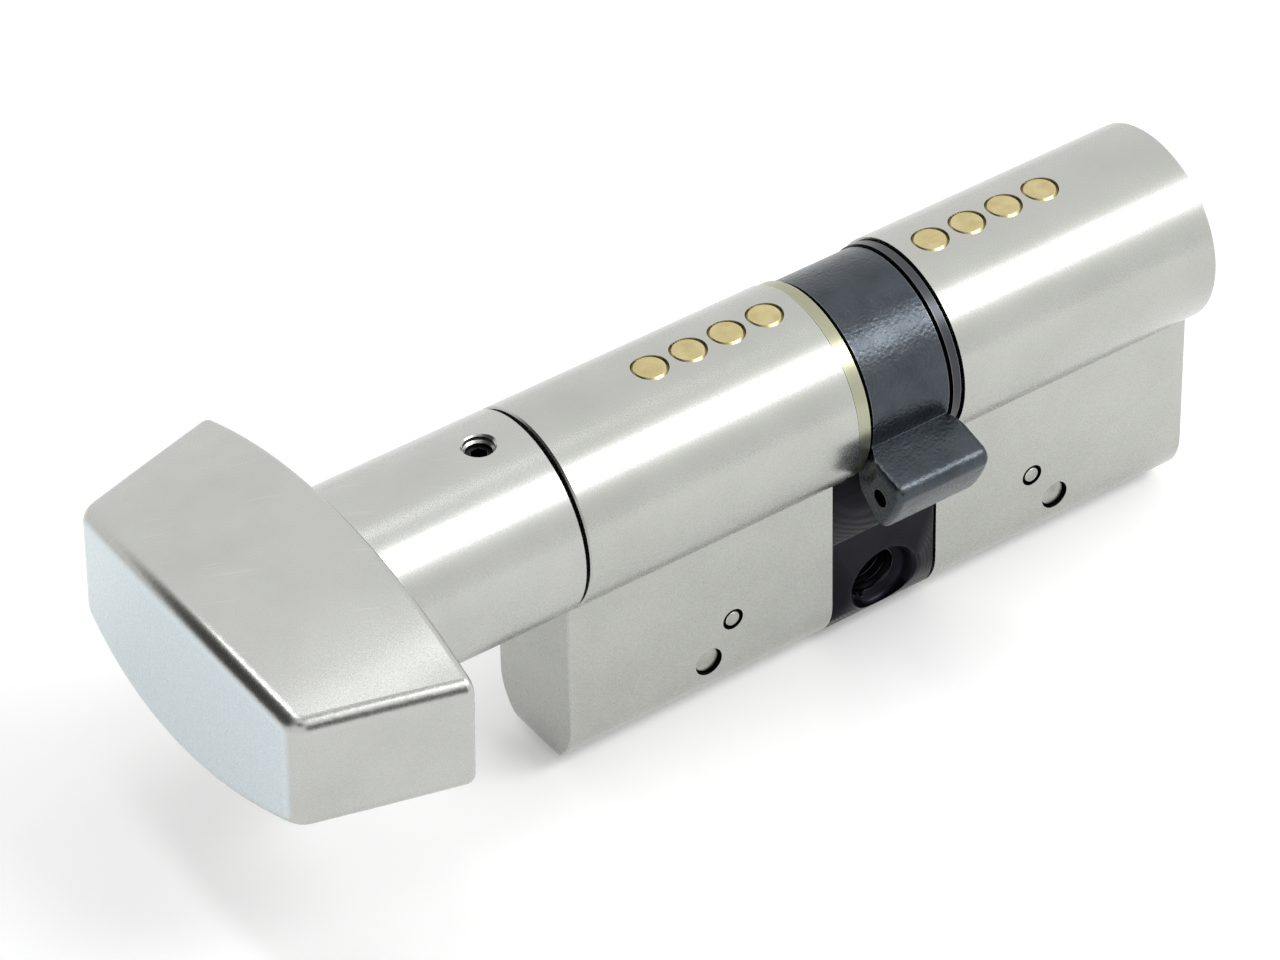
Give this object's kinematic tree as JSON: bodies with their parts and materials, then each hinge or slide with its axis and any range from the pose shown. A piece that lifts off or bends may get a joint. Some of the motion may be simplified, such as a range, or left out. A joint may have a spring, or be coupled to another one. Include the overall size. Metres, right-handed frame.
{
  "type": "euro profile lock cylinder",
  "caption": "Modular euro-profile lock cylinder with a winged thumbturn on one end, a keyed plug on the other and a steel cam between its two bodies.",
  "frame": {"origin": "centre of the fixing-screw hole, which is the centre of the leg's half-round bottom in the middle of the cylinder", "axes": "+X along the barrel towards the key side, +Y across the leg, +Z from the leg up to the barrel"},
  "size_m": [0.094, 0.0374, 0.0334],
  "materials": {
    "nickel_body": "satin nickel plate on drawn brass",
    "nickel_knob": "satin nickel plate on cast zinc",
    "plug_nickel": "satin nickel plate",
    "black_steel": "black oxide",
    "sintered_steel": "sintered, steam blackened",
    "pin_steel": "ground",
    "brass": "turned",
    "washer_brass": "stamped",
    "core_brass": "turned",
    "pin_brass": "turned",
    "grub_steel": "black oxide",
    "ring_steel": "phosphated",
    "hard_steel": "hardened, ground",
    "clutch_steel": "sintered",
    "driver_steel": "turned",
    "spring_steel": "drawn wire"
  },
  "bodies": {
    "housing": {"thumb_body": "nickel_body", "key_body": "nickel_body", "bridge": "black_steel", "small_cross_pins": "pin_steel", "large_cross_pins": "pin_steel", "thumb_chamber_caps": "brass", "key_chamber_caps": "brass", "body_drill_guards": "hard_steel", "thrust_washer": "washer_brass", "pin_spring_1": "spring_steel", "pin_spring_2": "spring_steel", "pin_spring_3": "spring_steel", "pin_spring_4": "spring_steel"},
    "thumbturn": {"thumb_knob": "nickel_knob", "thumb_core": "core_brass", "grub_screw": "grub_steel", "thumb_retaining_ring": "ring_steel"},
    "cam": {"cam": "sintered_steel"},
    "key_plug": {"key_plug": "plug_nickel", "key_retaining_ring": "ring_steel", "plug_drill_guards": "hard_steel", "clutch_spring": "spring_steel"},
    "clutch": {"clutch_slider": "clutch_steel"},
    "key_pin_1": {"key_pin_1": "pin_brass"},
    "driver_pin_1": {"driver_pin_1": "driver_steel"},
    "key_pin_2": {"key_pin_2": "pin_brass"},
    "driver_pin_2": {"driver_pin_2": "driver_steel"},
    "key_pin_3": {"key_pin_3": "pin_brass"},
    "driver_pin_3": {"driver_pin_3": "driver_steel"},
    "key_pin_4": {"key_pin_4": "pin_brass"},
    "driver_pin_4": {"driver_pin_4": "driver_steel"}
  },
  "joints": [
    {"name": "thumb_turn", "type": "hinge", "parent": "housing", "child": "thumbturn", "pos_m": [0, 0, 0.0195], "axis": [1, 0, 0], "continuous": true},
    {"name": "cam_turn", "type": "hinge", "parent": "housing", "child": "cam", "pos_m": [0, 0, 0.0195], "axis": [1, 0, 0], "continuous": true},
    {"name": "key_turn", "type": "hinge", "parent": "housing", "child": "key_plug", "pos_m": [0, 0, 0.0195], "axis": [1, 0, 0], "continuous": true},
    {"name": "clutch_slide", "type": "slide", "parent": "key_plug", "child": "clutch", "axis": [-1, 0, 0], "range_m": [0, 0.0016], "stiffness_N_per_m": 150, "springref_m": -0.001, "deforming": ["clutch_spring"]},
    {"name": "driver_slide_1", "type": "slide", "parent": "housing", "child": "driver_pin_1", "axis": [0, 0, -1], "range_m": [0, 0.001], "stiffness_N_per_m": 120, "springref_m": -0.001, "deforming": ["pin_spring_1"]},
    {"name": "key_pin_slide_1", "type": "slide", "parent": "key_plug", "child": "key_pin_1", "axis": [0, 0, 1], "range_m": [0, 0.001]},
    {"name": "driver_slide_2", "type": "slide", "parent": "housing", "child": "driver_pin_2", "axis": [0, 0, -1], "range_m": [0, 0.001], "stiffness_N_per_m": 120, "springref_m": -0.001, "deforming": ["pin_spring_2"]},
    {"name": "key_pin_slide_2", "type": "slide", "parent": "key_plug", "child": "key_pin_2", "axis": [0, 0, 1], "range_m": [0, 0.001]},
    {"name": "driver_slide_3", "type": "slide", "parent": "housing", "child": "driver_pin_3", "axis": [0, 0, -1], "range_m": [0, 0.001], "stiffness_N_per_m": 120, "springref_m": -0.001, "deforming": ["pin_spring_3"]},
    {"name": "key_pin_slide_3", "type": "slide", "parent": "key_plug", "child": "key_pin_3", "axis": [0, 0, 1], "range_m": [0, 0.001]},
    {"name": "driver_slide_4", "type": "slide", "parent": "housing", "child": "driver_pin_4", "axis": [0, 0, -1], "range_m": [0, 0.001], "stiffness_N_per_m": 120, "springref_m": -0.001, "deforming": ["pin_spring_4"]},
    {"name": "key_pin_slide_4", "type": "slide", "parent": "key_plug", "child": "key_pin_4", "axis": [0, 0, 1], "range_m": [0, 0.001]}
  ],
  "couplings": [
    {"joint": "cam_turn", "follows": "thumb_turn", "ratio": 1}
  ]
}
